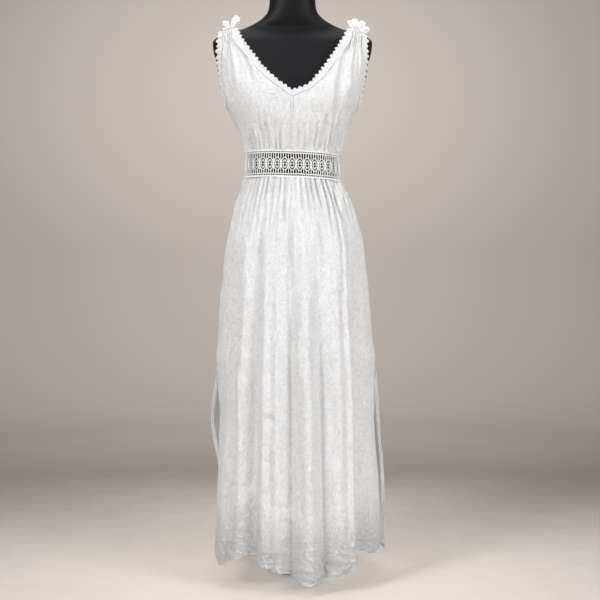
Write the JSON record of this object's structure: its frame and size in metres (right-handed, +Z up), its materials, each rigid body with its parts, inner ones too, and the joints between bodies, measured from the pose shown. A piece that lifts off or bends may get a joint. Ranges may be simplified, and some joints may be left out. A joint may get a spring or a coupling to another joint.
{
  "type": "sundress on dress form",
  "caption": "Sleeveless V-neck maxi sundress in white gauze with crochet edging, openwork waist band and side slits, worn by a limbless dress form on a clear round base.",
  "frame": {"origin": "middle of the underside of the round base, on the floor", "axes": "+Z up, the front of the dress towards -Y, +X towards the viewer's right"},
  "size_m": [0.4362, 0.444, 1.4593],
  "materials": {
    "gauze": "crinkled white cotton gauze, matt",
    "crochet": "warm white cotton crochet lace",
    "form_skin": "smooth matt black",
    "steel": "satin steel",
    "glass": "clear toughened glass"
  },
  "bodies": {
    "root": {"stand_base": "glass", "stand_flange": "steel", "stand_pole": "steel", "form_torso": "form_skin", "form_neck_cap": "form_skin", "bodice_front_left": "gauze", "bodice_front_right": "gauze", "bodice_front_seam": "gauze", "bodice_back": "gauze", "waist_lace_front": "crochet", "waist_lace_back": "crochet", "skirt_front": "gauze", "skirt_back": "gauze", "neck_edging_left": "crochet", "neck_edging_right": "crochet", "neck_edging_back": "crochet", "armhole_edging_left": "crochet", "armhole_edging_right": "crochet", "shoulder_tie_left": "gauze", "shoulder_tie_right": "gauze"}
  },
  "joints": []
}
